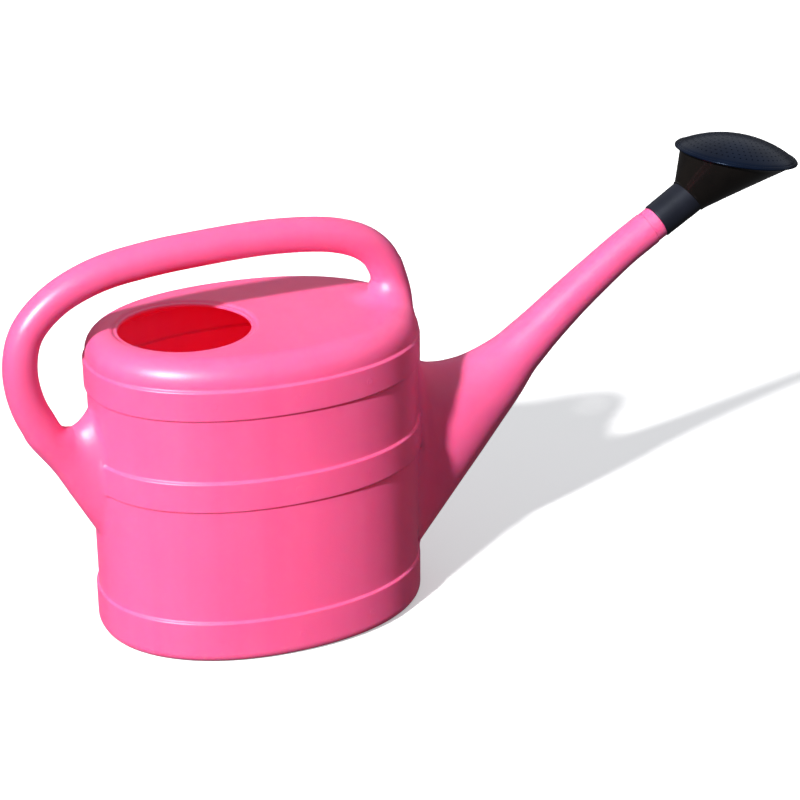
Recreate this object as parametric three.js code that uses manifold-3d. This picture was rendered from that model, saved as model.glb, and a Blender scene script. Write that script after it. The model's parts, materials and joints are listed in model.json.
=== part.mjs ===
// Ten-litre garden watering can, in millimetres with +Z up.
// One blow-moulded vessel (tank, carrying handle and spout) and a push-on rose of two mouldings.
// The vessel is divided where its shape changes, so its base, wall, deck, handle and spout are
// separate solids. The work is drawn with x = 0 at the middle of the tank and +X towards the spout;
// the finished group is moved so that its origin is the middle of its footprint.
import * as THREE from "three";
import { mergeVertices } from "three/addons/utils/BufferGeometryUtils.js";
import Module from "manifold-3d";

// ---- driving dimensions ----
const gap = 0.3; // clearance between neighbouring solids
const wall = 2.2; // wall of the blow-moulded vessel

const tankHalfLength = 138;
const tankHalfWidth = 100.5;
const tankRoundness = 2.14; // exponent of the plan's superellipse, 2 is an ellipse
const deckHeight = 261;
const shoulderRadius = 18.5;
const bandStand = 2; // how far the hoops stand out of the wall
const bandEdge = 1.5; // height of a hoop's sloping edge
const footTop = 36.5;
const middleBand = [136.5, 160.5];
const upperBandHeight = 23.5;
const upperBandBelowShoulder = 4.2;
const baseSplit = 12; // height where the base meets the wall
const baseCorner = 8.5;
const floorRaise = 3.5; // underside of the floor above the ground
const footRingWidth = 9;

const fillHoleRadius = 53.7;
const fillHoleX = -57.5;
const fillLipWidth = 5;
const fillLipDrop = 1.6;

const gripRadius = 14.3;
const gripRise = 64.5; // grip's centre line above the deck at its highest
const rearReach = 55; // rear bend's centre line behind the tank's end
const legInset = 17.5; // front leg's centre line behind the tank's front
const legFootHalfWidth = 21.5;
const rearFootHalfWidth = 23;

const spoutTipAngle = THREE.MathUtils.degToRad(32.3);
const spoutReach = 234; // collar's end in front of the tank's front, along x
const spoutRise = 29.8; // collar's end above the deck
const spoutRootHalfWidth = 29;
const spoutRootLow = 19; // underside of the root at the wall, above the ground
const spigotRadius = 13.6;
const spigotLength = 27;
const spigotWall = 2;
const collarStand = 1.1; // how far the collar stands out round the spigot
const collarLength = 9.5;
const tipStand = 0.6; // how far the spout stands out round the collar

const neckLength = 35.5; // on the axis
const neckWall = 1.7;
const neckFlare = 0.5; // how much wider the neck is at its top than at its mouth
const seamTilt = THREE.MathUtils.degToRad(8.7); // slant of the funnel's foot round the neck
const seatDepth = 4; // how far the neck reaches into the funnel, above the seam's middle
const footLip = 0.6; // wall of the funnel's foot at the seam
const funnelWall = 1.8;
const funnelOverhang = 5.2; // how far the plate's rim stands out over the funnel's mouth
const roseRadius = 54;
const roseTilt = THREE.MathUtils.degToRad(8.6); // the plate leans forward by this
const roseForward = 46.7; // plate's centre in front of the neck's top
const roseAbove = 34.3; // plate's centre above the neck's top
const plateWall = 1.8;
const plateDome = 13.8;
const rimHeight = 3;
const rimBead = 2.4; // width of the bead round the dome
const rimWall = 1.8; // wall of the plate's rim, outside the funnel's lip
const lipHeight = 1.4; // the funnel's lip widens to meet the plate over this height

// ---- derived places ----
const shoulderFoot = deckHeight - shoulderRadius;
const upperBand = [
  shoulderFoot - upperBandBelowShoulder - upperBandHeight,
  shoulderFoot - upperBandBelowShoulder,
];
const front = tankHalfLength;
const rear = -tankHalfLength;
const collarRadius = spigotRadius + collarStand;
const spoutTipRadius = collarRadius + tipStand;
const tipAxis = new THREE.Vector3(Math.cos(spoutTipAngle), 0, Math.sin(spoutTipAngle));
const collarEnd = new THREE.Vector3(front + spoutReach, 0, deckHeight + spoutRise);
const neckTop = collarEnd.clone().addScaledVector(tipAxis, neckLength + gap);
const plateCentre = neckTop.clone().add(new THREE.Vector3(roseForward, 0, roseAbove));

// ---- faceting ----
const tankSides = 56;
const tubeSides = 16;
const roseSides = 32;
const arcSteps = 4;
const domeSteps = 5;

const wasm = await Module();
wasm.setup();

// ---- solids from three.js geometry and back ----
function signedVolume(position, index) {
  const [a, b, c] = [new THREE.Vector3(), new THREE.Vector3(), new THREE.Vector3()];
  let sum = 0;
  for (let i = 0; i < index.length; i += 3) {
    a.fromArray(position, index[i] * 3);
    b.fromArray(position, index[i + 1] * 3);
    c.fromArray(position, index[i + 2] * 3);
    sum += a.dot(b.cross(c));
  }
  return sum / 6;
}

function toSolid(geometry) {
  const bare = geometry.clone();
  bare.deleteAttribute("normal");
  bare.deleteAttribute("uv");
  const merged = mergeVertices(bare, 1e-4);
  const vertProperties = new Float32Array(merged.attributes.position.array);
  const triVerts = new Uint32Array(merged.index.array);
  if (signedVolume(vertProperties, triVerts) < 0) triVerts.reverse();
  return new wasm.Manifold(new wasm.Mesh({ numProp: 3, vertProperties, triVerts }));
}

function toGeometry(solid) {
  const mesh = solid.getMesh();
  const positions = new THREE.BufferAttribute(new Float32Array(mesh.vertProperties), 3);
  const geometry = new THREE.BufferGeometry().setAttribute("position", positions);
  geometry.setIndex(new THREE.BufferAttribute(new Uint32Array(mesh.triVerts), 1));
  geometry.computeVertexNormals();
  return geometry;
}

// Joins rings of equally many points into one closed surface. With wrap, the last ring meets the
// first, as round a tyre; without it, a fan to the ring's middle closes each end.
function skin(rings, wrap = false) {
  const count = rings[0].length;
  const points = rings.flat();
  const index = [];
  const last = wrap ? rings.length : rings.length - 1;
  for (let k = 0; k < last; k++) {
    const low = k * count;
    const high = ((k + 1) % rings.length) * count;
    for (let i = 0; i < count; i++) {
      const j = (i + 1) % count;
      index.push(low + i, low + j, high + j, low + i, high + j, high + i);
    }
  }
  if (!wrap) {
    for (const [ring, flip] of [[0, true], [rings.length - 1, false]]) {
      const middle = new THREE.Vector3();
      rings[ring].forEach((point) => middle.addScaledVector(point, 1 / count));
      points.push(middle);
      for (let i = 0; i < count; i++) {
        const [p, q] = [ring * count + i, ring * count + ((i + 1) % count)];
        index.push(...(flip ? [q, p] : [p, q]), points.length - 1);
      }
    }
  }
  const geometry = new THREE.BufferGeometry().setFromPoints(points);
  geometry.setIndex(index);
  return geometry;
}

// ---- tank ----
// One turn round the tank's plan, drawn in by inset, at height z.
function planRing(inset, z) {
  const ring = [];
  const power = 2 / tankRoundness;
  for (let i = 0; i < tankSides; i++) {
    const turn = (2 * Math.PI * i) / tankSides;
    const [c, s] = [Math.cos(turn), Math.sin(turn)];
    const x = (tankHalfLength - inset) * Math.sign(c) * Math.abs(c) ** power;
    const y = (tankHalfWidth - inset) * Math.sign(s) * Math.abs(s) ** power;
    ring.push(new THREE.Vector3(x, y, z));
  }
  return ring;
}

const sweepPlan = (profile, wrap) => skin(profile.map(([inset, z]) => planRing(inset, z)), wrap);

// Quarter arc from the first angle to the second, in quarter turns, as [inset, z] points.
function arc(inset, z, radius, from, to) {
  const points = [];
  for (let i = 0; i <= arcSteps; i++) {
    const turn = (Math.PI / 2) * (from + ((to - from) * i) / arcSteps);
    points.push([inset - radius * Math.cos(turn), z + radius * Math.sin(turn)]);
  }
  return points;
}

// Outline of one hoop, from its lower edge to its upper one.
function hoop([bottom, top], grow = 0) {
  return [
    [-grow, bottom - grow - bandEdge],
    [-bandStand - grow, bottom - grow],
    [-bandStand - grow, top + grow],
    [-grow, top + grow + bandEdge],
  ];
}

// The tank's outside as one solid block, grown by the given clearance.
function tankBlock(grow) {
  return toSolid(sweepPlan([
    ...arc(baseCorner - bandStand, baseCorner, baseCorner + grow, -1, 0),
    [-bandStand - grow, footTop + grow],
    [-grow, footTop + grow + bandEdge],
    ...hoop(middleBand, grow),
    ...hoop(upperBand, grow),
    ...arc(shoulderRadius, shoulderFoot, shoulderRadius + grow, 0, 1),
  ]));
}

function tankBase() {
  const corner = baseCorner - bandStand;
  const ringEdge = corner + footRingWidth;
  const floorTop = floorRaise + wall;
  return toSolid(skin([
    planRing(ringEdge + floorRaise, floorRaise),
    planRing(ringEdge, 0),
    ...arc(corner, baseCorner, baseCorner, -1, 0).map((point) => planRing(...point)),
    planRing(-bandStand, baseSplit),
    planRing(wall - bandStand, baseSplit),
    ...arc(corner, baseCorner, baseCorner - wall, 0, -1).map((point) => planRing(...point)),
    planRing(ringEdge, wall),
    planRing(ringEdge + floorRaise, floorTop),
  ]));
}

function tankWall(spoutBore) {
  const outside = [
    [-bandStand, baseSplit + gap],
    [-bandStand, footTop],
    [0, footTop + bandEdge],
    ...hoop(middleBand),
    ...hoop(upperBand),
    [0, shoulderFoot - gap],
  ];
  const inside = outside.map(([inset, z]) => [inset + wall, z]).reverse();
  return toSolid(sweepPlan([...outside, ...inside], true)).subtract(spoutBore);
}

function tankDeck() {
  const roof = toSolid(sweepPlan([
    ...arc(shoulderRadius, shoulderFoot, shoulderRadius, 1, 0),
    ...arc(shoulderRadius, shoulderFoot, shoulderRadius - wall, 0, 1),
  ]));
  const lipOuter = fillHoleRadius + fillLipWidth;
  const under = deckHeight - wall;
  const cutter = turned([[0, under - wall], [lipOuter, under - wall],
    [lipOuter, deckHeight + wall], [0, deckHeight + wall]], tankSides);
  const lip = turned([
    [lipOuter + 1, under],
    [lipOuter + 1, deckHeight],
    [lipOuter, deckHeight],
    [fillHoleRadius + fillLipWidth / 2, deckHeight - fillLipDrop],
    [fillHoleRadius, deckHeight - fillLipDrop],
    [fillHoleRadius, under - fillLipDrop],
    [fillHoleRadius + fillLipWidth / 2, under - fillLipDrop],
    [lipOuter, under],
  ], tankSides);
  const at = [fillHoleX, 0, 0];
  return roof.subtract(cutter.translate(at)).add(lip.translate(at));
}

// A solid of revolution about +Z from [radius, z] points that close on themselves or on the axis.
function turned(profile, sides) {
  const points = profile.map(([radius, z]) => new THREE.Vector2(radius, z));
  points.push(points[0].clone());
  return toSolid(new THREE.LatheGeometry(points, sides).rotateX(Math.PI / 2));
}

// ---- tubes with flared feet ----
// A station is the tube's two edges in the plane y = 0 and its half width across that plane.
const station = (outer, inner, halfWidth) => ({ outer, inner, halfWidth });

// Stations along a centre line of [x, z, radius] points, square to a smooth curve through them.
function tubeStations(points, steps) {
  const line = new THREE.CatmullRomCurve3(points.map(([x, z, radius]) =>
    new THREE.Vector3(x, radius, z)));
  const stations = [];
  for (let i = 0; i <= steps; i++) {
    const at = line.getPoint(i / steps);
    const along = line.getTangent(i / steps);
    const length = Math.hypot(along.x, along.z);
    const side = [(-along.z / length) * at.y, (along.x / length) * at.y];
    stations.push(station([at.x + side[0], at.z + side[1]],
      [at.x - side[0], at.z - side[1]], at.y));
  }
  return stations;
}

// Ellipses across the stations, drawn in by inset, joined into one solid.
function loftStations(stations, inset = 0) {
  return toSolid(skin(stations.map(({ outer, inner, halfWidth }) => {
    const middle = [(outer[0] + inner[0]) / 2, (outer[1] + inner[1]) / 2];
    const half = Math.hypot(outer[0] - inner[0], outer[1] - inner[1]) / 2;
    const axis = [(inner[0] - middle[0]) / half, (inner[1] - middle[1]) / half];
    const ring = [];
    for (let i = 0; i < tubeSides; i++) {
      const turn = (2 * Math.PI * i) / tubeSides;
      const across = (half - inset) * Math.cos(turn);
      ring.push(new THREE.Vector3(middle[0] + axis[0] * across,
        (halfWidth - inset) * Math.sin(turn), middle[1] + axis[1] * across));
    }
    return ring;
  })));
}

function handle(block) {
  const crown = deckHeight + gripRise;
  const back = rear - rearReach;
  // The rear foot spreads down the tank's end: outer edge, then inner edge, then half width.
  const foot = [
    station([rear + 8, deckHeight - 184], [rear + 8, deckHeight - 44], rearFootHalfWidth + 3),
    station([rear + 1, deckHeight - 172], [rear - 1, deckHeight - 58], rearFootHalfWidth + 1),
    station([rear - 10, deckHeight - 152], [rear - 9, deckHeight - 67.5], rearFootHalfWidth - 3),
    station([rear - 22, deckHeight - 130], [rear - 15, deckHeight - 71.5], rearFootHalfWidth - 6),
    station([rear - 34, deckHeight - 108], [rear - 18, deckHeight - 72], gripRadius + 1.2),
  ];
  const tube = tubeStations([
    [back + 16, deckHeight - 75, gripRadius + 0.6],
    [back + 4, deckHeight - 47, gripRadius],
    [back, deckHeight - 17, gripRadius - 0.4],
    [back + 7, deckHeight + 12, gripRadius - 0.8],
    [back + 30, deckHeight + 36, gripRadius - 0.8],
    [back + 66, crown - 12, gripRadius - 0.4],
    [back + 110, crown - 4.5, gripRadius],
    [-50, crown - 2, gripRadius],
    [10, crown, gripRadius],
    [front - 82, crown - 3.2, gripRadius],
    [front - legInset - 41.5, crown - 8, gripRadius],
    [front - legInset - 23, crown - 16, gripRadius],
    [front - legInset - 10.5, crown - 26.8, gripRadius],
    [front - legInset - 2, crown - 41, gripRadius + 0.1],
  ], 34);
  // The front leg spreads over the shoulder, flush with the tank's front.
  const legFoot = [
    station([front - 1.7, deckHeight + 14], [front - 31.8, deckHeight + 12], gripRadius + 1),
    station([front + 0.4, deckHeight + 5], [front - 33, deckHeight + 5.5], legFootHalfWidth - 4),
    station([front + 1.6, deckHeight - 6], [front - 37, deckHeight - 1], legFootHalfWidth),
    station([front + 1, deckHeight - 20], [front - 38, deckHeight - 12], legFootHalfWidth),
  ];
  const stations = [...foot, ...tube, ...legFoot];
  return loftStations(stations).subtract(loftStations(stations, wall)).subtract(block);
}

function spoutStations() {
  const saddle = upperBand[0] - 21.5; // lowest point of the spout's upper edge
  const edge = (x, z) => [front + x, z];
  // The straight underside climbs from the wall to the throat.
  const throat = [102, saddle - 39.5];
  const under = (share) => edge(throat[0] * share,
    THREE.MathUtils.lerp(spoutRootLow, throat[1], share));
  const root = [
    station(edge(-10, saddle + 22), under(-0.1), spoutRootHalfWidth + 4),
    station(edge(1, saddle + 17), under(0), spoutRootHalfWidth + 2),
    station(edge(6, saddle + 8), under(0.08), spoutRootHalfWidth),
    station(edge(13, saddle + 2.5), under(0.22), spoutRootHalfWidth),
    station(edge(24, saddle), under(0.4), spoutRootHalfWidth),
    station(edge(38, saddle - 0.6), under(0.6), spoutRootHalfWidth),
    station(edge(54, saddle + 1.4), under(0.8), spoutRootHalfWidth - 0.5),
    station(edge(72, saddle + 7), under(1), spoutRootHalfWidth - 2),
  ];
  const stop = collarEnd.clone().addScaledVector(tipAxis, -collarLength);
  const before = stop.clone().addScaledVector(tipAxis, -12);
  const tube = tubeStations([
    [front + 100.5, saddle - 3.5, 22.4],
    [front + 122.5, saddle + 15.3, 19.4],
    [front + 149.5, saddle + 37.8, 17.4],
    [front + 177.5, saddle + 59.3, 16.1],
    [front + 202.5, saddle + 77.5, spoutTipRadius + 0.1],
    [before.x, before.z, spoutTipRadius],
    [stop.x, stop.z, spoutTipRadius],
  ], 12);
  return [...root, ...tube];
}

// A turned solid placed with its z axis on the tip's axis and its zero at the collar's end.
function onTip(profile, sides) {
  const lean = THREE.MathUtils.radToDeg(Math.PI / 2 - spoutTipAngle);
  return turned(profile, sides).rotate([0, lean, 0]).translate(collarEnd.toArray());
}

function spoutBore(stations) {
  const throughTip = onTip([
    [0, -collarLength - 3],
    [spigotRadius - spigotWall, -collarLength - 3],
    [spigotRadius - spigotWall, spigotLength + 2],
    [0, spigotLength + 2],
  ], roseSides);
  return loftStations(stations, wall).add(throughTip);
}

function spout(stations, bore, block) {
  const tip = onTip([
    [0, -collarLength - 1],
    [collarRadius, -collarLength - 1],
    [collarRadius, 0],
    [spigotRadius, 0],
    [spigotRadius, spigotLength - 1.5],
    [spigotRadius - 0.8, spigotLength],
    [0, spigotLength],
  ], roseSides);
  return loftStations(stations).add(tip).subtract(bore).subtract(block);
}

// ---- rose ----
const neckInner = spigotRadius + gap;
const neckMouth = neckInner + neckWall;
const neckSeat = neckMouth + neckFlare; // the neck's outside where the funnel's foot holds it
const seamAngle = spoutTipAngle + seamTilt; // slope of the seam's normal above the horizontal

// A ring of points round a centre in the plane y = 0, square to the direction at the given
// slope, and stretched by the given factor across its slanting side.
function slantedRing(centre, slope, radius, stretch = 1) {
  const ring = [];
  for (let i = 0; i < roseSides; i++) {
    const turn = (2 * Math.PI * i) / roseSides;
    const along = radius * stretch * Math.cos(turn);
    ring.push(new THREE.Vector3(centre.x + along * Math.sin(slope),
      radius * Math.sin(turn), centre.z - along * Math.cos(slope)));
  }
  return ring;
}

// The sleeve that pushes over the spigot. It is round about the tip's axis all the way up.
function roseNeck() {
  const top = neckLength + seatDepth;
  return onTip([
    [neckInner, gap],
    [neckMouth - 0.5, gap],
    [neckMouth, gap + 0.5],
    [neckSeat, neckLength - gap],
    [neckSeat, top],
    [neckInner + neckFlare, top],
  ], roseSides);
}

// A circle with the given radius in a plane parallel to the plate's, lower by drop.
function plateRing(radius, drop) {
  const up = new THREE.Vector3(Math.sin(roseTilt), 0, Math.cos(roseTilt));
  const centre = plateCentre.clone().addScaledVector(up, -drop);
  return slantedRing(centre, Math.PI / 2 - roseTilt, radius);
}

// The funnel is a straight-sided loft from the round neck to the larger, tilted mouth, where its
// lip turns out to the width of the plate's rim. Its foot is a slanted socket round the neck.
function roseFunnel() {
  const stretch = 1 / Math.cos(seamTilt);
  const foot = (radius) => slantedRing(neckTop, seamAngle, radius, stretch);
  const seat = neckTop.clone().addScaledVector(tipAxis, seatDepth + gap);
  const socket = neckSeat + gap;
  const mouth = roseRadius - funnelOverhang;
  const lip = roseRadius - rimWall - gap;
  return toSolid(skin([
    foot(socket + footLip),
    plateRing(mouth, rimHeight + lipHeight),
    plateRing(lip, rimHeight),
    plateRing(lip, gap),
    plateRing(lip - funnelWall, gap),
    plateRing(lip - funnelWall, rimHeight - gap),
    plateRing(mouth - funnelWall, rimHeight + lipHeight),
    slantedRing(seat, spoutTipAngle, neckInner + neckFlare),
    slantedRing(seat, spoutTipAngle, socket),
    foot(socket),
  ], true));
}

// The domed, snap-on plate: a cap with a rim that hangs outside the funnel's lip. Heights are
// above the rim's inner shelf.
function rosePlate() {
  const shelf = roseRadius - rimWall;
  const domeBase = roseRadius - rimBead;
  const rise = plateDome - plateWall;
  const ball = (domeBase ** 2 + rise ** 2) / (2 * rise);
  // Points on a ball of the given radius under its top, from the given radius in to the axis.
  const cap = (radius, top, from) => {
    const half = Math.asin(from / radius);
    const points = [];
    for (let i = 0; i <= domeSteps; i++) {
      const turn = half * (1 - i / domeSteps);
      points.push([radius * Math.sin(turn), top - radius * (1 - Math.cos(turn))]);
    }
    return points;
  };
  return turned([
    ...cap(ball - plateWall, plateDome - plateWall, shelf - 3).reverse(),
    [shelf - 2, 0],
    [shelf, 0],
    [shelf, -rimHeight],
    [roseRadius - 0.8, -rimHeight],
    [roseRadius, -rimHeight + 0.8],
    [roseRadius, plateWall - 1],
    [roseRadius - 1, plateWall],
    ...cap(ball, plateDome, domeBase),
  ], roseSides)
    .rotate([0, THREE.MathUtils.radToDeg(roseTilt), 0])
    .translate(plateCentre.toArray());
}

// ---- assembly ----
const pink = { color: 0xf0508c, roughness: 0.38, metalness: 0 };
const black = { color: 0x141519, roughness: 0.35, metalness: 0 };

const can = new THREE.Group();
can.name = "watering_can";

function place(name, solid, look) {
  const mesh = new THREE.Mesh(toGeometry(solid), new THREE.MeshStandardMaterial(look));
  mesh.name = name;
  can.add(mesh);
}

const block = tankBlock(gap);
const spoutLine = spoutStations();
const bore = spoutBore(spoutLine);
place("tank_base", tankBase(), pink);
place("tank_wall", tankWall(bore), pink);
place("tank_deck", tankDeck(), pink);
place("handle", handle(block), pink);
place("spout", spout(spoutLine, bore, block), pink);
place("rose_neck", roseNeck(), black);
place("rose_funnel", roseFunnel(), black);
place("rose_plate", rosePlate(), black);

const footprint = new THREE.Box3().setFromObject(can).getCenter(new THREE.Vector3());
can.position.x = -footprint.x;

export default can;
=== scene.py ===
import json
import math

import bpy
import numpy as np
from mathutils import Matrix, Vector
from mathutils.bvhtree import BVHTree
from mathutils.interpolate import poly_3d_calc


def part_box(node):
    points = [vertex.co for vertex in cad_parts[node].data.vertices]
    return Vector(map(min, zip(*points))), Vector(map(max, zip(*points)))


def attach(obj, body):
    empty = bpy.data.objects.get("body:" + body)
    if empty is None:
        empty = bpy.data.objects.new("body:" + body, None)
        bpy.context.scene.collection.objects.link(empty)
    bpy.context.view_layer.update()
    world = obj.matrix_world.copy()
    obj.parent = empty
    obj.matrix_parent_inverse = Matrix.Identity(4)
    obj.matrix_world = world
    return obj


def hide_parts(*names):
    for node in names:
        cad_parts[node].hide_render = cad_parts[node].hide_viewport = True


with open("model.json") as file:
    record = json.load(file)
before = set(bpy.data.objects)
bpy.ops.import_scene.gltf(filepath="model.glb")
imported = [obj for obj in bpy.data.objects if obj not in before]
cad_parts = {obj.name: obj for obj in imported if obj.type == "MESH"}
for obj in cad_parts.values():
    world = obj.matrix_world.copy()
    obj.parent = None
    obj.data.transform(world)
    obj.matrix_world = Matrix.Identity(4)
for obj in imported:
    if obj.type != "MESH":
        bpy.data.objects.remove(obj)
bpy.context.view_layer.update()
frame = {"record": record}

MM = 0.001

# ---- camera ----
CAMERA_TARGET = Vector((-0.01795, 0.0, 0.16388))
CAMERA_AZIMUTH = math.radians(-22.892)
CAMERA_ELEVATION = math.radians(23.0)
CAMERA_ROLL = math.radians(-0.316)
CAMERA_DISTANCE = 1.84676
CAMERA_LENS = 97.73
SENSOR = 36.0


def direction(azimuth, elevation):
    """Unit vector from the target out to an eye or a light; azimuth 0 is on the -Y side."""
    flat = math.cos(elevation)
    return Vector((math.sin(azimuth) * flat, -math.cos(azimuth) * flat, math.sin(elevation)))


def add_camera():
    data = bpy.data.cameras.new("camera")
    data.lens = CAMERA_LENS
    data.sensor_width = SENSOR
    camera = bpy.data.objects.new("camera", data)
    bpy.context.scene.collection.objects.link(camera)
    back = direction(CAMERA_AZIMUTH, CAMERA_ELEVATION)
    right = Vector((math.cos(CAMERA_AZIMUTH), math.sin(CAMERA_AZIMUTH), 0.0))
    up = back.cross(right)
    axes = Matrix((right, up, back)).transposed()
    rolled = axes @ Matrix.Rotation(CAMERA_ROLL, 3, "Z")
    camera.matrix_world = Matrix.LocRotScale(CAMERA_TARGET + back * CAMERA_DISTANCE, rolled, None)
    bpy.context.scene.camera = camera


add_camera()


# ---- sizes read from the frame ----
def box_mm(node):
    low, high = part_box(node)
    return np.array(low) / MM, np.array(high) / MM


def joint(name):
    return next(j for j in frame["record"]["behaviour"]["joints"] if j["name"] == name)


WALL_LOW, WALL_HIGH = box_mm("tank_wall")
DECK_LOW, DECK_HIGH = box_mm("tank_deck")
TANK_X = (WALL_LOW[0] + WALL_HIGH[0]) / 2
HALF_LENGTH = (DECK_HIGH[0] - DECK_LOW[0]) / 2
HALF_WIDTH = (DECK_HIGH[1] - DECK_LOW[1]) / 2
BAND_STAND = WALL_HIGH[1] - DECK_HIGH[1]
DECK = DECK_HIGH[2]
FRONT = HALF_LENGTH
REAR = -HALF_LENGTH

TIP_AXIS = np.array(joint("rose_twist")["axis"])
TIP_AXIS = TIP_AXIS / np.linalg.norm(TIP_AXIS)
TIP_SLOPE = math.atan2(TIP_AXIS[2], TIP_AXIS[0])
COLLAR_END = np.array(joint("rose_twist")["pos_m"]) / MM - np.array([TANK_X, 0.0, 0.0])
PLATE_AXIS = np.array(joint("plate_pull")["axis"])
PLATE_AXIS = PLATE_AXIS / np.linalg.norm(PLATE_AXIS)
PLATE_SLOPE = math.atan2(PLATE_AXIS[2], PLATE_AXIS[0])

# ---- sizes of the vessel ----
GAP = 0.3
WALL = 2.2
ROUNDNESS = 2.14  # exponent of the plan's superellipse
SHOULDER = 18.5
BAND_EDGE = 1.5
FOOT_TOP = 36.5
MIDDLE_BAND = (136.5, 160.5)
UPPER_BAND = (214.8, 238.3)
BASE_CORNER = 8.5
FLOOR_RAISE = 3.5
FOOT_RING = 9.0
FILL_X = -57.5
FILL_RADIUS = 53.7
FILL_LIP = 5.0
FILL_DROP = 1.6
GRIP = 14.3
GRIP_RISE = 64.5
REAR_REACH = 55.0
LEG_INSET = 17.5
LEG_WIDTH = 21.5
REAR_FOOT_WIDTH = 23.0
TIP_RADIUS = 15.3
ROOT_WIDTH = 29.0
ROOT_LOW = 19.0
COLLAR_RADIUS = 14.7
COLLAR_LENGTH = 9.5
SPIGOT_RADIUS = 13.6
SPIGOT_LENGTH = 27.0
SPIGOT_WALL = 2.0
SPOUT_FILLET = 16.0
FOOT_FILLET = 12.0
LEG_FILLET = 26.0
WIDEST_JUNCTION = 2 * LEG_FILLET  # no fillet reaches further than this from a surface

# ---- sizes of the rose ----
NECK_LENGTH = 35.5
NECK_WALL = 1.7
NECK_FLARE = 0.5
SEAM_TILT = math.radians(8.7)
SEAT_DEPTH = 4.0
FOOT_LIP = 0.35
FUNNEL_WALL = 1.8
OVERHANG = 5.2
ROSE_RADIUS = 54.0
ROSE_FORWARD = 46.7
ROSE_ABOVE = 34.3
PLATE_WALL = 1.8
PLATE_DOME = 14.6
RIM_HEIGHT = 3.0  # rim's lower edge in the solid, below the shelf
RIM_TOP = 0.4  # where the dome starts, above the shelf
RIM_CHAMFER = 1.7  # how far the rim's top slopes down to its outer edge
RIM_LIFT = 0.6  # the rim's lower edge stands this much above the solid's
RIM_BEAD = 2.4
RIM_WALL = 1.8
LIP_HEIGHT = 1.4
HOLE_RADIUS = 0.72
HOLE_PITCH = 5.15
HOLE_RINGS = 9

# ---- mesh density ----
TANK_SIDES = 256
TUBE_SIDES = 64
ROSE_SIDES = 128


# ---- outlines and curves ----
def soft_outline(corners, closed=False, step=4.0, hold=0.35, bend=math.radians(14)):
    """Points along an outline of (a, b, radius) corners: arcs at the corners, rows between."""
    count = len(corners)
    spots = [np.array(c[:2], float) for c in corners]
    runs = []
    for i, corner in enumerate(corners):
        here = spots[i]
        radius = corner[2] if len(corner) > 2 else 0.0
        if radius == 0.0 or (not closed and i in (0, count - 1)):
            runs.append([here])
            continue
        back = spots[i - 1] - here
        ahead = spots[(i + 1) % count] - here
        u = back / np.linalg.norm(back)
        v = ahead / np.linalg.norm(ahead)
        between = math.acos(np.clip(u @ v, -1.0, 1.0))
        tangent = radius / math.tan(between / 2)
        middle = here + (u + v) / np.linalg.norm(u + v) * (radius / math.sin(between / 2))
        start = here + u * tangent - middle
        end = here + v * tangent - middle
        sweep = math.pi - between
        pieces = max(2, math.ceil(sweep / bend))
        shares = np.linspace(0, 1, pieces + 1)
        runs.append([middle + (start * math.sin((1 - s) * sweep) + end * math.sin(s * sweep))
                     / math.sin(sweep) for s in shares])
    points = []
    for i, run in enumerate(runs):
        points.extend(run)
        if i == count - 1 and not closed:
            break
        points.extend(rows_between(run[-1], runs[(i + 1) % count][0], step, hold))
    return points


def rows_between(start, end, step, hold):
    """Points strictly between two ends: one close to each, and the rest evenly spaced."""
    length = np.linalg.norm(end - start)
    if length < 4 * hold:
        return []
    near = hold / length
    inner = np.linspace(near, 1 - near, max(1, math.ceil(length / step)) + 1)
    return [start + (end - start) * s for s in inner]


def smooth_through(points, steps):
    """Centripetal Catmull-Rom curve through the rows of points, at even steps of its parameter."""
    rows = np.asarray(points, float)
    padded = np.vstack([2 * rows[0] - rows[1], rows, 2 * rows[-1] - rows[-2]])
    curve = []
    for t in np.linspace(0, len(rows) - 1, steps + 1):
        k = min(int(t), len(rows) - 2)
        curve.append(hermite(*padded[k:k + 4], t - k))
    return np.array(curve)


def hermite(before, start, end, after, share):
    d0 = np.sum((start - before) ** 2) ** 0.25
    d1 = np.sum((end - start) ** 2) ** 0.25
    d2 = np.sum((after - end) ** 2) ** 0.25
    leave = ((start - before) / d0 - (end - before) / (d0 + d1) + (end - start) / d1) * d1
    arrive = ((end - start) / d1 - (after - start) / (d1 + d2) + (after - end) / d2) * d1
    square, cube = share ** 2, share ** 3
    return ((2 * cube - 3 * square + 1) * start + (cube - 2 * square + share) * leave
            + (3 * square - 2 * cube) * end + (cube - square) * arrive)


# ---- rings ----
def circle(sides):
    turn = 2 * math.pi * np.arange(sides) / sides
    return np.cos(turn), np.sin(turn)


def plan_ring(inset, z, sides=TANK_SIDES):
    """One turn round the tank's plan, drawn in by inset, at height z."""
    c, s = circle(sides)
    power = 2 / ROUNDNESS
    x = (HALF_LENGTH - inset) * np.sign(c) * np.abs(c) ** power
    y = (HALF_WIDTH - inset) * np.sign(s) * np.abs(s) ** power
    return np.stack([x, y, np.full(sides, z)], axis=1)


def station_ring(station, inset, sides):
    """Ellipse across a tube: station is its upper edge x, z, lower edge x, z and half width."""
    c, s = circle(sides)
    first, last = station[0:2], station[2:4]
    middle = (first + last) / 2
    half = np.linalg.norm(last - first) / 2
    axis = (last - first) / (2 * half)
    across = (half - inset) * c
    return np.stack([middle[0] + axis[0] * across, (station[4] - inset) * s,
                     middle[1] + axis[1] * across], axis=1)


def slanted_ring(centre, slope, radius, stretch=1.0, sides=ROSE_SIDES):
    """Circle round a centre in the plane y = 0, square to the direction at the given slope."""
    c, s = circle(sides)
    along = radius * stretch * c
    return np.stack([centre[0] + along * math.sin(slope), radius * s,
                     centre[2] - along * math.cos(slope)], axis=1)


# ---- meshes ----
SOURCES = [bpy.data.materials.new("source_%d" % i) for i in range(7)]


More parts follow.
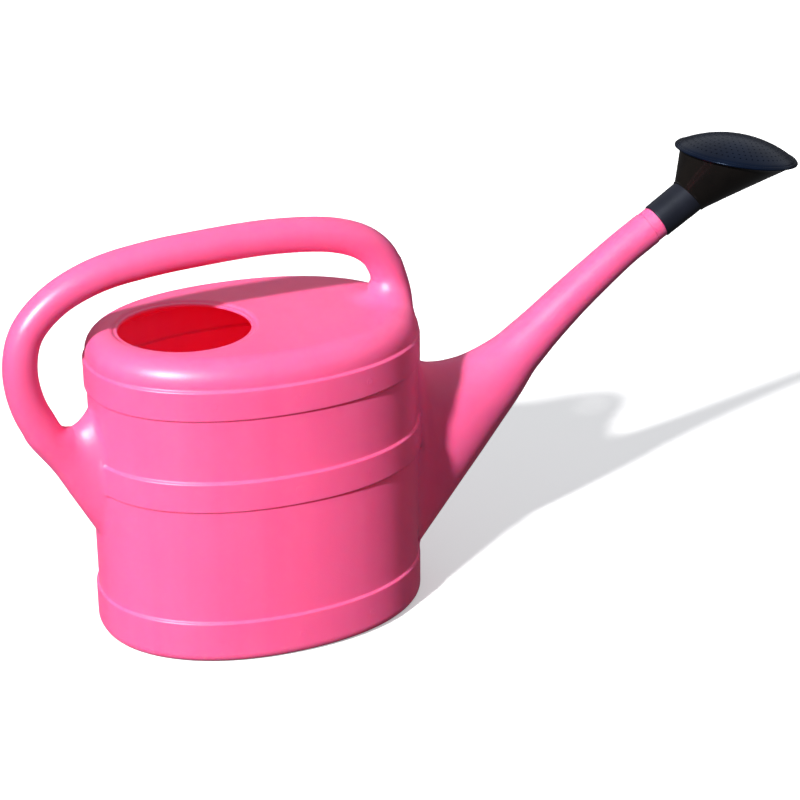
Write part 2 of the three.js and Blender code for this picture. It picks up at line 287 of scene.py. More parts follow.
def new_object(name, mesh):
    made = bpy.data.objects.new(name, mesh)
    bpy.context.scene.collection.objects.link(made)
    return made


def solid(name, rings, wrap=False, ends=(None, None), source=0):
    """Closed mesh over rings of equally many points. A fan to a point closes each open end."""
    count, sides = len(rings), len(rings[0])
    points = [tuple(p) for ring in rings for p in ring]
    faces = []
    for k in range(count if wrap else count - 1):
        low, high = k * sides, ((k + 1) % count) * sides
        for i in range(sides):
            j = (i + 1) % sides
            faces.append((low + i, low + j, high + j, high + i))
    if not wrap:
        for ring, tip in ((0, ends[0]), (count - 1, ends[1])):
            points.append(tuple(np.mean(rings[ring], axis=0) if tip is None else tip))
            for i in range(sides):
                a, b = ring * sides + i, ring * sides + (i + 1) % sides
                faces.append((b, a, len(points) - 1) if ring == 0 else (a, b, len(points) - 1))
    moved = (np.array(points) + [TANK_X, 0.0, 0.0]) * MM
    if enclosed(moved, faces) < 0:
        faces = [face[::-1] for face in faces]
    mesh = bpy.data.meshes.new(name)
    mesh.from_pydata(moved.tolist(), [], faces)
    for material in SOURCES:
        mesh.materials.append(material)
    mesh.polygons.foreach_set("material_index", [source] * len(faces))
    mesh.shade_smooth()
    return new_object(name, mesh)


def enclosed(points, faces):
    """Signed volume inside the faces, positive when they face out."""
    total = 0.0
    for face in faces:
        for k in range(1, len(face) - 1):
            a, b, c = points[face[0]], points[face[k]], points[face[k + 1]]
            total += a @ np.cross(b, c)
    return total


def combine(base, other, operation):
    """Joins or cuts the base with the other solid, which is used up."""
    step = base.modifiers.new("combine", "BOOLEAN")
    step.object = other
    step.operation = operation
    step.solver = "MANIFOLD"
    graph = bpy.context.evaluated_depsgraph_get()
    made = bpy.data.meshes.new_from_object(base.evaluated_get(graph))
    base.modifiers.clear()
    base.data = made
    bpy.data.objects.remove(other)


class Skin:
    """A smooth source surface: gives the signed distance and the smooth normal at a point."""

    def __init__(self, made, flip=False):
        mesh = made.data
        self.points = [v.co.copy() for v in mesh.vertices]
        self.faces = [tuple(p.vertices) for p in mesh.polygons]
        sign = -1.0 if flip else 1.0
        self.normals = [Vector(n.vector) * sign for n in mesh.vertex_normals]
        self.tree = BVHTree.FromPolygons(self.points, self.faces)
        coordinates = np.array([p[:] for p in self.points])
        self.low, self.high = coordinates.min(axis=0), coordinates.max(axis=0)

    def covers(self, point, margin):
        return all(self.low[i] - margin < point[i] < self.high[i] + margin for i in range(3))

    def at(self, point):
        near, _, face, _ = self.tree.find_nearest(point)
        corners = self.faces[face]
        weights = poly_3d_calc([self.points[i] for i in corners], near)
        normal = Vector()
        for weight, corner in zip(weights, corners):
            normal += self.normals[corner] * weight
        normal.normalize()
        away = point - near
        distance = away.length
        return (distance if away.dot(normal) >= 0 else -distance), normal


def shade_from(made, pick):
    """Gives each face corner the normal of the source surface that its face came from."""
    mesh = made.data
    known = {}
    normals = []
    for polygon in mesh.polygons:
        source = polygon.material_index
        for corner in polygon.loop_indices:
            vertex = mesh.loops[corner].vertex_index
            if (source, vertex) not in known:
                known[source, vertex] = pick(source, mesh.vertices[vertex].co)
            normals.append(known[source, vertex])
    mesh.shade_smooth()
    mesh.normals_split_custom_set(normals)


# ---- tank ----
def band(bottom, top):
    return [(0, bottom - BAND_EDGE, 1.3), (-BAND_STAND, bottom, 1.3),
            (-BAND_STAND, top, 1.7), (0, top + BAND_EDGE, 1.6)]


def tank_outline(depth, step):
    """The tank's outline as (inset, z) points, drawn in by depth from its outside."""
    ring_edge = BASE_CORNER - BAND_STAND + FOOT_RING
    corners = [
        (HALF_WIDTH - 5, FLOOR_RAISE),
        (ring_edge + FLOOR_RAISE, FLOOR_RAISE, 2.0),
        (ring_edge, 0, 1.2),
        (-BAND_STAND, 0, BASE_CORNER - depth),
        (-BAND_STAND, FOOT_TOP, 1.7),
        (0, FOOT_TOP + BAND_EDGE, 1.6),
        *band(*MIDDLE_BAND),
        *band(*UPPER_BAND),
        (0, DECK, SHOULDER - depth),
        (HALF_WIDTH - 5, DECK),
    ]
    moved = []
    for inset, z, *radius in corners:
        if z == DECK:
            moved.append((inset + depth, z - depth, *radius))
        elif z <= FLOOR_RAISE:
            side = depth if inset < 0 else 0
            moved.append((inset + side, z + depth, *radius))
        else:
            moved.append((inset + depth, z, *radius))
    return soft_outline(moved, step=step)


def tank_solid(name, depth, step, source):
    return solid(name, [plan_ring(inset, z) for inset, z in tank_outline(depth, step)],
                 source=source)


def turned(name, profile, centre=(0, 0, 0), slope=math.pi / 2, source=0, wrap=False,
           sides=ROSE_SIDES):
    """Solid of revolution from (radius, height) points about an axis in the plane y = 0."""
    axis = np.array([math.cos(slope), 0.0, math.sin(slope)])
    centre = np.array(centre, float)
    rings = [slanted_ring(centre + axis * height, slope, radius, sides=sides)
             for radius, height in profile if radius > 1e-6]
    ends = (centre + axis * profile[0][1], centre + axis * profile[-1][1])
    return solid(name, rings, wrap=wrap, ends=ends, source=source)


def fill_cutter():
    """What is open above the dished lip and through the fill hole."""
    lip = FILL_RADIUS + FILL_LIP
    profile = soft_outline([
        (0, DECK - 11),
        (FILL_RADIUS, DECK - 11),
        (FILL_RADIUS, DECK - FILL_DROP, 1.0),
        (lip - 2.0, DECK - FILL_DROP, 1.6),
        (lip - 0.2, DECK - 0.35, 2.0),
        (lip + 5.5, DECK + 0.9),
        (lip + 5.5, DECK + 12),
        (0, DECK + 12),
    ], step=3.0, hold=0.25)
    return turned("fill_cutter", profile, centre=(FILL_X, 0, 0), source=3, sides=192)


def lip_backing():
    """The part of the tank's inside that the lip's wall takes up."""
    lip = FILL_RADIUS + FILL_LIP
    under = DECK - FILL_DROP - WALL
    profile = soft_outline([
        (FILL_RADIUS - 4, under), (lip, under), (lip + 1.5, DECK - WALL + 0.2),
        (lip + 1.5, DECK + 4), (FILL_RADIUS - 4, DECK + 4),
    ], closed=True)
    return turned("lip_backing", profile, centre=(FILL_X, 0, 0), source=4, wrap=True, sides=192)


# ---- handle and spout ----
def tube_stations(points, steps):
    """Stations square to the smooth centre line through (x, z, radius) points."""
    line = [(x, radius, z) for x, z, radius in points]
    curve = smooth_through(line, steps)
    ahead = smooth_through(line, steps * 200)
    stations = []
    for i, (x, radius, z) in enumerate(curve):
        k = min(max(i * 200, 1), len(ahead) - 2)
        along = (ahead[k + 1] - ahead[k - 1])[[0, 2]]
        along = along / np.linalg.norm(along)
        side = np.array([-along[1], along[0]]) * radius
        stations.append([x + side[0], z + side[1], x - side[0], z - side[1], radius])
    return stations


def handle_stations():
    crown = DECK + GRIP_RISE
    back = REAR - REAR_REACH
    foot = [
        [REAR + 22, DECK - 186, REAR + 22, DECK - 40, REAR_FOOT_WIDTH + 4],
        [REAR + 8, DECK - 184, REAR + 8, DECK - 44, REAR_FOOT_WIDTH + 3],
        [REAR + 1, DECK - 172, REAR - 1, DECK - 58, REAR_FOOT_WIDTH + 1],
        [REAR - 10, DECK - 152, REAR - 9, DECK - 67.5, REAR_FOOT_WIDTH - 3],
        [REAR - 22, DECK - 130, REAR - 15, DECK - 71.5, REAR_FOOT_WIDTH - 6],
        [REAR - 34, DECK - 108, REAR - 18, DECK - 72, GRIP + 1.2],
    ]
    loop = tube_stations([
        (back + 16, DECK - 75, GRIP + 0.6),
        (back + 4, DECK - 47, GRIP),
        (back, DECK - 17, GRIP - 0.4),
        (back + 7, DECK + 12, GRIP - 0.8),
        (back + 30, DECK + 36, GRIP - 0.8),
        (back + 66, crown - 12, GRIP - 0.4),
        (back + 110, crown - 4.5, GRIP),
        (-50, crown - 2, GRIP),
        (10, crown, GRIP),
        (FRONT - 82, crown - 3.2, GRIP),
        (FRONT - LEG_INSET - 41.5, crown - 8, GRIP),
        (FRONT - LEG_INSET - 23, crown - 16, GRIP),
        (FRONT - LEG_INSET - 10.5, crown - 26.8, GRIP),
        (FRONT - LEG_INSET - 2, crown - 41, GRIP + 0.1),
    ], 34)
    leg = [
        [FRONT - 1.7, DECK + 14, FRONT - 31.8, DECK + 12, GRIP + 1],
        [FRONT + 0.4, DECK + 5, FRONT - 33, DECK + 5.5, LEG_WIDTH - 4],
        [FRONT + 1.6, DECK - 6, FRONT - 37, DECK - 1, LEG_WIDTH],
        [FRONT + 1, DECK - 20, FRONT - 38, DECK - 12, LEG_WIDTH],
        [FRONT - 5, DECK - 42, FRONT - 42, DECK - 34, LEG_WIDTH - 1],
    ]
    return foot + loop + leg


def spout_stations():
    saddle = UPPER_BAND[0] - 21.5  # lowest point of the spout's upper edge
    throat_x, throat_z = 102, saddle - 39.5

    def root(x, z, share, half_width):
        under_z = ROOT_LOW + (throat_z - ROOT_LOW) * share
        return [FRONT + x, z, FRONT + throat_x * share, under_z, half_width]

    stations = [
        [FRONT - 26, saddle + 30, FRONT - 26, BASE_CORNER, ROOT_WIDTH + 6],
        root(-10, saddle + 22, -0.1, ROOT_WIDTH + 4),
        root(1, saddle + 17, 0, ROOT_WIDTH + 2),
        root(6, saddle + 8, 0.08, ROOT_WIDTH),
        root(13, saddle + 2.5, 0.22, ROOT_WIDTH),
        root(24, saddle, 0.4, ROOT_WIDTH),
        root(38, saddle - 0.6, 0.6, ROOT_WIDTH),
        root(54, saddle + 1.4, 0.8, ROOT_WIDTH - 1.5),
        root(72, saddle + 7, 1, ROOT_WIDTH - 3.7),
    ]
    stop = COLLAR_END - TIP_AXIS * COLLAR_LENGTH
    before = stop - TIP_AXIS * 12
    return stations + tube_stations([
        (FRONT + 100.5, saddle - 3.5, 22.4),
        (FRONT + 122.5, saddle + 15.3, 19.4),
        (FRONT + 149.5, saddle + 37.8, 17.4),
        (FRONT + 177.5, saddle + 59.3, 16.1),
        (FRONT + 202.5, saddle + 77.5, TIP_RADIUS + 0.1),
        (before[0], before[2], TIP_RADIUS),
        (stop[0], stop[2], TIP_RADIUS),
    ], 12)


def tube_rings(stations, inset, finer, sides=TUBE_SIDES):
    curve = smooth_through(stations, (len(stations) - 1) * finer)
    return [station_ring(station, inset, sides) for station in curve]


def tip_rings(corners, **rows):
    """Rings round the tip's axis from (radius, distance past the collar's end) corners."""
    return [slanted_ring(COLLAR_END + TIP_AXIS * along, TIP_SLOPE, radius, sides=TUBE_SIDES)
            for radius, along in soft_outline(corners, **rows)]


def spout_solid(stations):
    rings = tube_rings(stations, 0, 5)[:-2]
    tip = tip_rings([
        (TIP_RADIUS, -COLLAR_LENGTH - 1.6),
        (TIP_RADIUS, -COLLAR_LENGTH, 0.35),
        (COLLAR_RADIUS - 0.5, -COLLAR_LENGTH, 0.15),
        (COLLAR_RADIUS - 0.5, -COLLAR_LENGTH + 0.8, 0.15),
        (COLLAR_RADIUS, -COLLAR_LENGTH + 1.1, 0.2),
        (COLLAR_RADIUS, 0, 0.4),
        (SPIGOT_RADIUS, 0, 0.3),
        (SPIGOT_RADIUS, SPIGOT_LENGTH - 1.5, 1.0),
        (SPIGOT_RADIUS - 0.8, SPIGOT_LENGTH, 0.3),
        (SPIGOT_RADIUS - SPIGOT_WALL - 2, SPIGOT_LENGTH),
    ], step=3.0, hold=0.2)
    return solid("spout_outside", rings + tip, source=1)


def spout_bore(stations):
    bore = SPIGOT_RADIUS - SPIGOT_WALL
    rings = tube_rings(stations, WALL, 3)[:-3]
    tip = tip_rings([
        (TIP_RADIUS - WALL, -COLLAR_LENGTH - 4),
        (bore, -COLLAR_LENGTH, 1.0),
        (bore, SPIGOT_LENGTH + 3),
    ])
    return solid("spout_bore", rings + tip, source=5)


def soft_union(skins):
    """Distance and normal of the joined skins, with a fillet wherever two of them meet."""

    def field(point):
        distance, normal, touched = None, None, False
        for skin, fillet in skins:
            if not skin.covers(point, WIDEST_JUNCTION * MM):
                continue
            other, facing = skin.at(point)
            if distance is None:
                distance, normal = other, facing
                continue
            # Surfaces that run side by side have no corner to fill.
            corner = min(1.0, max(0.0, 1.0 - normal.dot(facing)))
            reach = max(fillet(point) * MM * corner, 1e-7)
            share = min(1.0, max(0.0, 0.5 + 0.5 * (other - distance) / reach))
            touched = touched or 0.0 < share < 1.0
            distance = (other * (1 - share) + distance * share
                        - reach * share * (1 - share))
            normal = (facing * (1 - share) + normal * share).normalized()
        return distance, normal, touched

    return field


def settle(made, field, rounds=5):
    """Moves the points near a junction onto the filleted surface."""
    for vertex in made.data.vertices:
        point = vertex.co.copy()
        distance, normal, touched = field(point)
        if not touched:
            continue
        for _ in range(rounds):
            point = point - normal * distance
            distance, normal, _ = field(point)
        vertex.co = point


def can_body():
    tank = tank_solid("can_body", 0.0, 4.0, 0)
    handle = solid("handle_outside", tube_rings(handle_stations(), 0, 6), source=2)
    line = spout_stations()
    spout = spout_solid(line)

    def handle_fillet(point):
        return LEG_FILLET if point.x / MM > TANK_X else FOOT_FILLET

    field = soft_union([(Skin(tank), lambda point: 0.0), (Skin(handle), handle_fillet),
                        (Skin(spout), lambda point: SPOUT_FILLET)])
    combine(tank, handle, "UNION")
    combine(tank, spout, "UNION")
    settle(tank, field)
    vents = join("vent_marks", [solid("vent", rings, source=6) for rings in vent_marks()])
    raised = Skin(vents)
    combine(tank, vents, "UNION")

    cutter = fill_cutter()
    inside = tank_solid("tank_inside", WALL, 8.0, 4)
    combine(inside, lip_backing(), "DIFFERENCE")
    bore = spout_bore(line)
    cuts = {3: Skin(cutter, flip=True), 4: Skin(inside, flip=True), 5: Skin(bore, flip=True),
            6: raised}
    combine(tank, cutter, "DIFFERENCE")
    combine(tank, inside, "DIFFERENCE")
    combine(tank, bore, "DIFFERENCE")

    def pick(source, point):
        return cuts[source].at(point)[1] if source in cuts else field(point)[1]

    shade_from(tank, pick)
    return tank


def vent_marks():
    """Small ringed marks of the mould's vents, on the middle of each band and of the foot."""
    heights = [sum(UPPER_BAND) / 2, sum(MIDDLE_BAND) / 2, FOOT_TOP - 17]
    meshes = []
    for side in (-1, 1):
        for z in heights:
            for x in (-65.0, 0.0, 65.0):
                a, b = HALF_LENGTH + BAND_STAND, HALF_WIDTH + BAND_STAND
                y = b * (1 - (abs(x) / a) ** ROUNDNESS) ** (1 / ROUNDNESS)
                slope_x = np.sign(x) * (abs(x) / a) ** (ROUNDNESS - 1) / a
                slope_y = (y / b) ** (ROUNDNESS - 1) / b
                out = np.array([slope_x, side * slope_y, 0.0])
                meshes.append(vent(np.array([x, side * y, z]), out / np.linalg.norm(out)))
    return meshes


def vent(centre, out):
    """Rings of one mark: a low ring and a dot in one lens, sunk a little into the wall."""
    profile = [(3.1, -0.3), (3.1, 0.01), (2.9, 0.07), (2.5, 0.09), (2.2, 0.06), (2.0, 0.02),
               (1.1, 0.02), (0.9, 0.06), (0.5, 0.09)]
    across = np.cross([0, 0, 1], out)
    c, s = circle(32)
    return [centre + out * height + radius * (np.outer(c, across) + np.outer(s, [0, 0, 1]))
            for radius, height in profile]


def join(name, parts):
    """Joins the parts' meshes into one object."""
    with bpy.context.temp_override(active_object=parts[0], selected_editable_objects=parts):
        bpy.ops.object.join()
    parts[0].name = name
    return parts[0]


# ---- rose ----
NECK_TOP = COLLAR_END + TIP_AXIS * (NECK_LENGTH + GAP)
PLATE_CENTRE = NECK_TOP + np.array([ROSE_FORWARD, 0.0, ROSE_ABOVE])
SEAM_SLOPE = TIP_SLOPE + SEAM_TILT
NECK_INNER = SPIGOT_RADIUS + GAP
NECK_SEAT = NECK_INNER + NECK_WALL + NECK_FLARE


def neck_solid():
    top = NECK_LENGTH + SEAT_DEPTH
    profile = soft_outline([
        (NECK_INNER, GAP, 0.4),
        (NECK_INNER + NECK_WALL, GAP, 0.8),
        (NECK_SEAT, NECK_LENGTH - GAP),
        (NECK_SEAT, top, 0.4),
        (NECK_INNER + NECK_FLARE, top, 0.4),
    ], closed=True, step=3.0, hold=0.2)
    return turned("rose_neck_sleeve", profile, COLLAR_END, TIP_SLOPE, wrap=True)


def funnel_solid():
    socket = NECK_SEAT + GAP
    mouth = ROSE_RADIUS - OVERHANG
    lip = ROSE_RADIUS - RIM_WALL - GAP
    stretch = 1 / math.cos(SEAM_TILT)

    def foot(radius, lift=0.0):
        return slanted_ring(NECK_TOP + TIP_AXIS * lift, SEAM_SLOPE, radius, stretch)

    def plate(radius, drop):
        return slanted_ring(PLATE_CENTRE - PLATE_AXIS * drop, PLATE_SLOPE, radius)

    def between(first, last, shares):
        return [first * (1 - s) + last * s for s in shares]

    seat = NECK_TOP + TIP_AXIS * (SEAT_DEPTH + GAP)
    outer_foot = foot(socket + FOOT_LIP + 0.15, 1.4)
    outer_mouth = plate(mouth, RIM_HEIGHT + LIP_HEIGHT)
    inner_mouth = plate(mouth - FUNNEL_WALL, RIM_HEIGHT + LIP_HEIGHT)
    inner_foot = slanted_ring(seat, TIP_SLOPE, NECK_INNER + NECK_FLARE)
    lip_rows = soft_outline([
        (mouth, RIM_HEIGHT + LIP_HEIGHT),
        (lip, RIM_HEIGHT, 0.4),
        (lip, GAP, 0.3),
        (lip - FUNNEL_WALL, GAP, 0.3),
        (lip - FUNNEL_WALL, RIM_HEIGHT, 0.6),
        (mouth - FUNNEL_WALL, RIM_HEIGHT + LIP_HEIGHT),
    ], step=2.0, hold=0.2)
    rings = [
        foot(socket, 0.0),
        foot(socket + 0.2, -0.15),
        foot(socket + FOOT_LIP - 0.15, -0.1),
        foot(socket + FOOT_LIP + 0.25, 0.15),
        foot(socket + FOOT_LIP + 0.45, 0.6),
        foot(socket + FOOT_LIP + 0.25, 1.05),
        *between(outer_foot, outer_mouth, np.linspace(0, 1, 26))[:-1],
        *[plate(radius, drop) for radius, drop in lip_rows],
        *between(inner_mouth, inner_foot, np.linspace(0, 1, 14))[1:],
        slanted_ring(seat, TIP_SLOPE, socket),
        slanted_ring(seat - TIP_AXIS * 0.3, TIP_SLOPE, socket),
    ]
    return solid("rose_funnel_shell", rings, wrap=True)


def plate_solid():
    """The domed plate: a cap whose rim hangs outside the funnel's lip, with its spray holes."""
    shelf = ROSE_RADIUS - RIM_WALL
    dome_base = ROSE_RADIUS - RIM_BEAD
    rise = PLATE_DOME - RIM_TOP
    ball = (dome_base ** 2 + rise ** 2) / (2 * rise)

    def cap(radius, top, edge, rows):
        half = math.asin(edge / radius)
        turns = [half * (1 - i / rows) for i in range(rows + 1)]
        return [(radius * math.sin(t), top - radius * (1 - math.cos(t))) for t in turns]

    dome = cap(ball, PLATE_DOME, dome_base - 0.8, 24)
    rim = soft_outline([
        (shelf - 2, 0),
        (shelf, 0, 0.3),
        (shelf, RIM_LIFT - RIM_HEIGHT, 0.3),
        (ROSE_RADIUS, RIM_LIFT - RIM_HEIGHT, 0.6),
        (ROSE_RADIUS, RIM_TOP - RIM_CHAMFER, 0.5),
        (shelf + 0.3, RIM_TOP + 0.1, 0.5),
        (dome_base - 0.2, RIM_TOP - 0.4, 0.35),
        dome[0],
    ], step=1.5, hold=0.15)
    under = cap(ball - PLATE_WALL, PLATE_DOME - PLATE_WALL, shelf - 7, 16)
    profile = under[::-1] + rim + dome[1:]
    plate = turned("rose_spray_plate", profile, PLATE_CENTRE, PLATE_SLOPE, source=0)
    skins = {0: Skin(plate)}
    drills = hole_drills(PLATE_CENTRE + PLATE_AXIS * (PLATE_DOME - ball), ball)
    skins[1] = Skin(drills, flip=True)
    combine(plate, drills, "DIFFERENCE")
    shade_from(plate, lambda source, point: skins[source].at(point)[1])
    return plate


def hole_drills(ball_centre, ball):
    """One slim cylinder for each spray hole, in rings about the dome's top, square to it."""
    sideways = np.array([0.0, 1.0, 0.0])
    forward = np.cross(sideways, PLATE_AXIS)
    parts = []
    for ring in range(HOLE_RINGS + 1):
        lean = ring * HOLE_PITCH / ball
        for k in range(max(1, 6 * ring)):
            turn = 2 * math.pi * (k + 0.25 * ring) / max(1, 6 * ring)
            out = (PLATE_AXIS * math.cos(lean)
                   + (forward * math.cos(turn) + sideways * math.sin(turn)) * math.sin(lean))
            side = np.cross(out, sideways)
            side = side / np.linalg.norm(side)
            up = np.cross(side, out)
            c, s = circle(10)
            disc = HOLE_RADIUS * (np.outer(c, side) + np.outer(s, up))
            at = ball_centre + out * ball
            parts.append(solid("drill", [disc + at - out * 3.5, disc + at + out * 1.5], source=1))
    return join("hole_drills", parts)


# ---- materials ----
class Nodes:
    """A material's node tree, with short calls for the nodes used here."""

    def __init__(self, name):
        self.material = bpy.data.materials.new(name)
        self.material.use_nodes = True
        self.tree = self.material.node_tree
        self.shader = self.tree.nodes["Principled BSDF"]
        self.place = self.add("ShaderNodeTexCoord").outputs["Object"]

    def add(self, kind, **settings):
        node = self.tree.nodes.new(kind)
        for key, value in settings.items():
            setattr(node, key, value)
        return node

    def link(self, source, target):
        self.tree.links.new(source, target)

    def noise(self, scale, detail=3.0, roughness=0.5, stretch=(1, 1, 1)):
        mapping = self.add("ShaderNodeMapping")
        mapping.inputs["Scale"].default_value = stretch
        self.link(self.place, mapping.inputs["Vector"])
        node = self.add("ShaderNodeTexNoise")
        node.inputs["Scale"].default_value = scale
        node.inputs["Detail"].default_value = detail
        node.inputs["Roughness"].default_value = roughness
        self.link(mapping.outputs["Vector"], node.inputs["Vector"])
        return node.outputs["Fac"]

    def spread(self, value, from_low, from_high, low, high):
        node = self.add("ShaderNodeMapRange")
        for key, number in (("From Min", from_low), ("From Max", from_high),
                            ("To Min", low), ("To Max", high)):
            node.inputs[key].default_value = number
        self.link(value, node.inputs["Value"])
        return node.outputs["Result"]

    def math(self, operation, first, second):
        node = self.add("ShaderNodeMath", operation=operation)
        for slot, value in zip(node.inputs, (first, second)):
            if isinstance(value, float):
                slot.default_value = value
            else:
                self.link(value, slot)
        return node.outputs["Value"]

    def colours(self, value, low, high):
        node = self.add("ShaderNodeMix", data_type="RGBA")
        self.link(value, node.inputs["Factor"])
        first, second = [s for s in node.inputs if s.type == "RGBA"]
        first.default_value = (*low, 1)
        second.default_value = (*high, 1)
        return next(s for s in node.outputs if s.type == "RGBA")

    def bump(self, height, distance, previous=None):
        node = self.add("ShaderNodeBump")
        node.inputs["Strength"].default_value = 1.0
        node.inputs["Distance"].default_value = distance
        self.link(height, node.inputs["Height"])
        if previous is not None:
            self.link(previous, node.inputs["Normal"])
        return node.outputs["Normal"]

    def height(self):
        node = self.add("ShaderNodeSeparateXYZ")
        self.link(self.place, node.inputs[0])
        return node.outputs["Z"]


def pink_plastic():
    """Satin polyethylene, with the fine peel and upright flow lines of a blown skin."""
    n = Nodes("pink_plastic")
    cloud = n.noise(7.0, detail=2.0)
    flow = n.noise(55.0, detail=2.0, stretch=(1, 1, 0.04))
    tone = n.math("ADD", n.math("MULTIPLY", cloud, 0.6), n.math("MULTIPLY", flow, 0.4))
    shade = n.spread(tone, 0.3, 0.7, 0.0, 1.0)
    colour = n.colours(shade, (0.88, 0.105, 0.290), (0.92, 0.130, 0.325))
    scuffed = n.spread(n.height(), 0.002, 0.014, 1.0, 0.0)
    specks = n.noise(240.0, detail=4.0, roughness=0.7, stretch=(1, 1, 3))
    marks = n.spread(specks, 0.52, 0.66, 0.0, 1.0)
    wear = n.math("MULTIPLY", scuffed, marks)
    worn = n.add("ShaderNodeMix", data_type="RGBA")
    sockets = [s for s in worn.inputs if s.type == "RGBA"]
    n.link(n.math("MULTIPLY", wear, 0.4), worn.inputs["Factor"])
    n.link(colour, sockets[0])
    sockets[1].default_value = (0.80, 0.30, 0.42, 1)
    n.link(next(s for s in worn.outputs if s.type == "RGBA"), n.shader.inputs["Base Color"])
    rough = n.spread(n.noise(28.0, detail=4.0), 0.3, 0.7, 0.37, 0.45)
    n.link(n.math("ADD", rough, n.math("MULTIPLY", wear, 0.2)), n.shader.inputs["Roughness"])
    peel = n.bump(n.noise(620.0, detail=2.0), 0.00006)
    n.link(n.bump(flow, 0.00003, peel), n.shader.inputs["Normal"])
    n.shader.inputs["IOR"].default_value = 1.5
    n.shader.inputs["Specular IOR Level"].default_value = 0.7
    n.shader.inputs["Subsurface Weight"].default_value = 0.8
    n.shader.inputs["Subsurface Radius"].default_value = (1.0, 0.08, 0.16)
    n.shader.inputs["Subsurface Scale"].default_value = 0.004
    return n.material


def black_plastic(name, low, high, rough_low, rough_high, grain, painted_reflection_tint):
    """Injection-moulded polypropylene: a satin-to-gloss skin with faint grain and flow marks. The
    near-black of the base colours is the plastic's own; their blue or brown hue and the specular
    tint passed in are painted reflection of sky or ground.
    """
    n = Nodes(name)
    cloud = n.noise(40.0, detail=3.0)
    colour = n.colours(n.spread(cloud, 0.35, 0.65, 0.0, 1.0), low, high)
    n.link(colour, n.shader.inputs["Base Color"])
    scratch = n.noise(160.0, detail=5.0, roughness=0.7, stretch=(1, 6, 1))
    rough = n.spread(scratch, 0.3, 0.7, rough_low, rough_high)
    n.link(rough, n.shader.inputs["Roughness"])
    fine = n.bump(n.noise(1500.0, detail=2.0), grain)
    n.link(n.bump(cloud, 0.00012, fine), n.shader.inputs["Normal"])
    n.shader.inputs["IOR"].default_value = 1.49
    n.shader.inputs["Specular IOR Level"].default_value = 0.3
    # The specular tint is a painted reflection: bluish for the sky, warm for the ground.
    n.shader.inputs["Specular Tint"].default_value = (*painted_reflection_tint, 1)
    return n.material


def dress(made, material):
    """Leaves one material on the piece."""
    made.data.materials.clear()
    made.data.materials.append(material)
    made.data.polygons.foreach_set("material_index", [0] * len(made.data.polygons))


# ---- pieces ----
PINK = pink_plastic()
# Black neck: its near-black is the plastic's own; its bluish hue and blue specular tint are
# painted reflection of the sky.
NECK_BLACK_PAINTED_SKY = black_plastic(
    "neck_black_painted_sky", low=(0.007, 0.008, 0.013), high=(0.010, 0.011, 0.018),
    rough_low=0.34, rough_high=0.44, grain=0.00003, painted_reflection_tint=(0.8, 0.88, 1.0))
# Black funnel: its near-black is the plastic's own; its brownish hue and warm specular tint are
# painted reflection of the ground.
FUNNEL_BLACK_PAINTED_GROUND = black_plastic(
    "funnel_black_painted_ground", low=(0.0035, 0.003, 0.003), high=(0.006, 0.005, 0.0045),
    rough_low=0.16, rough_high=0.24, grain=0.00001, painted_reflection_tint=(1.0, 0.93, 0.85))
# Black spray plate: its near-black is the plastic's own; its navy hue and blue specular tint are
# painted reflection of the sky.
PLATE_BLACK_PAINTED_SKY = black_plastic(
    "plate_black_painted_sky", low=(0.0004, 0.0016, 0.007), high=(0.0008, 0.003, 0.011),
    rough_low=0.2, rough_high=0.3, grain=0.00002, painted_reflection_tint=(0.5, 0.68, 1.0))

vessel = can_body()
dress(vessel, PINK)
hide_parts("tank_base", "tank_wall", "tank_deck", "handle", "spout")
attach(vessel, "can")

SHARP = math.radians(40)
for build, node, body, slot, material in (
    (neck_solid, "rose_neck", "neck", "rose_plastic", NECK_BLACK_PAINTED_SKY),
    (funnel_solid, "rose_funnel", "funnel", "rose_plastic", FUNNEL_BLACK_PAINTED_GROUND),
    (plate_solid, "rose_plate", "plate", "rose_plate_plastic", PLATE_BLACK_PAINTED_SKY),
):
    piece = build()
    if build is not plate_solid:
        piece.data.set_sharp_from_angle(angle=SHARP)
    dress(piece, material)
    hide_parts(node)
    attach(piece, body)


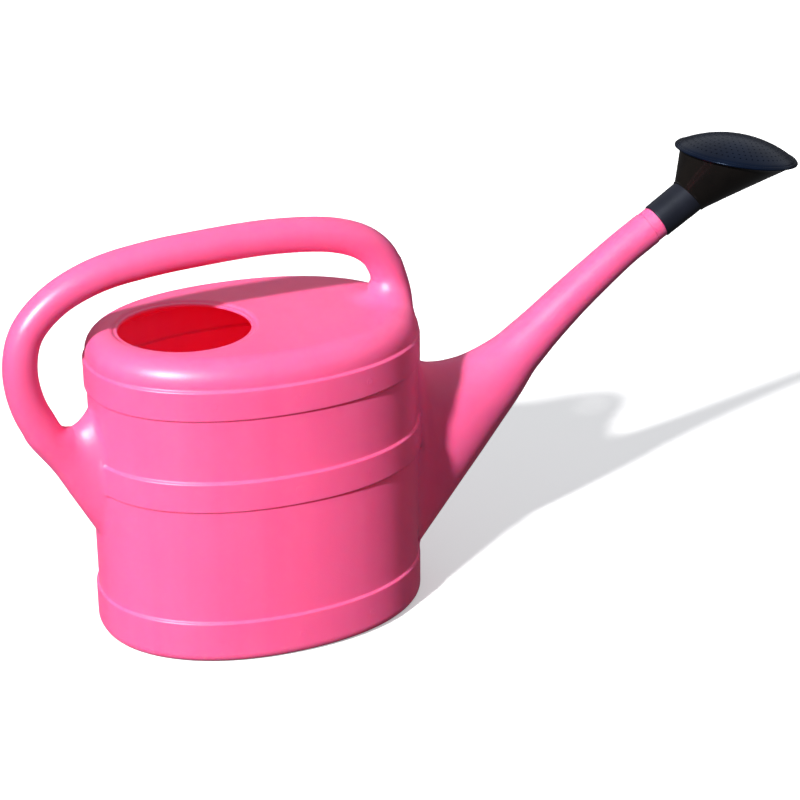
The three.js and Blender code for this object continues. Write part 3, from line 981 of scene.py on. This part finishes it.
# ---- floor and light ----
def add_floor():
    size = 60.0
    mesh = bpy.data.meshes.new("floor")
    corners = [(-size, -size, 0), (size, -size, 0), (size, size, 0), (-size, size, 0)]
    mesh.from_pydata(corners, [], [(0, 1, 2, 3)])
    floor = new_object("floor", mesh)
    n = Nodes("floor_white")
    tone = n.spread(n.noise(2.0), 0.3, 0.7, 0.0, 1.0)
    n.link(n.colours(tone, (0.84, 0.84, 0.85), (0.86, 0.86, 0.86)), n.shader.inputs["Base Color"])
    n.shader.inputs["Roughness"].default_value = 0.9
    n.shader.inputs["Emission Color"].default_value = (1.0, 1.0, 1.0, 1)
    n.shader.inputs["Emission Strength"].default_value = 0.35
    mesh.materials.append(n.material)
    floor.visible_glossy = False
    floor.visible_diffuse = False


def add_sun(name, azimuth, elevation, strength, softness, colour=(1, 1, 1)):
    data = bpy.data.lights.new(name, "SUN")
    data.energy = strength
    data.angle = math.radians(softness)
    data.color = colour
    sun = new_object(name, data)
    back = direction(math.radians(azimuth), math.radians(elevation))
    sun.rotation_mode = "QUATERNION"
    sun.rotation_quaternion = back.to_track_quat("Z", "Y")


def add_glow(place, power, radius, colour):
    """A lamp in the tank that stands for the light that the pink walls let through."""
    data = bpy.data.lights.new("glow", "POINT")
    data.energy = power
    data.shadow_soft_size = radius
    data.color = colour
    new_object("glow", data).location = place


def add_world(colour, strength):
    world = bpy.data.worlds.new("world")
    world.use_nodes = True
    background = world.node_tree.nodes["Background"]
    background.inputs["Color"].default_value = (*colour, 1)
    background.inputs["Strength"].default_value = strength
    bpy.context.scene.world = world


add_floor()
add_sun("key", -55.0, 33.0, 6.2, 3.5, (1.0, 0.985, 0.97))
add_sun("overhead", 0.0, 90.0, 1.15, 150.0, (0.93, 0.96, 1.0))
add_glow((TANK_X * MM, 0.0, 0.13), 0.16, 0.05, (1.0, 0.004, 0.03))
add_world((0.95, 0.96, 1.0), 0.08)
bpy.context.scene.view_settings.view_transform = "Standard"
bpy.context.scene.view_settings.look = "None"
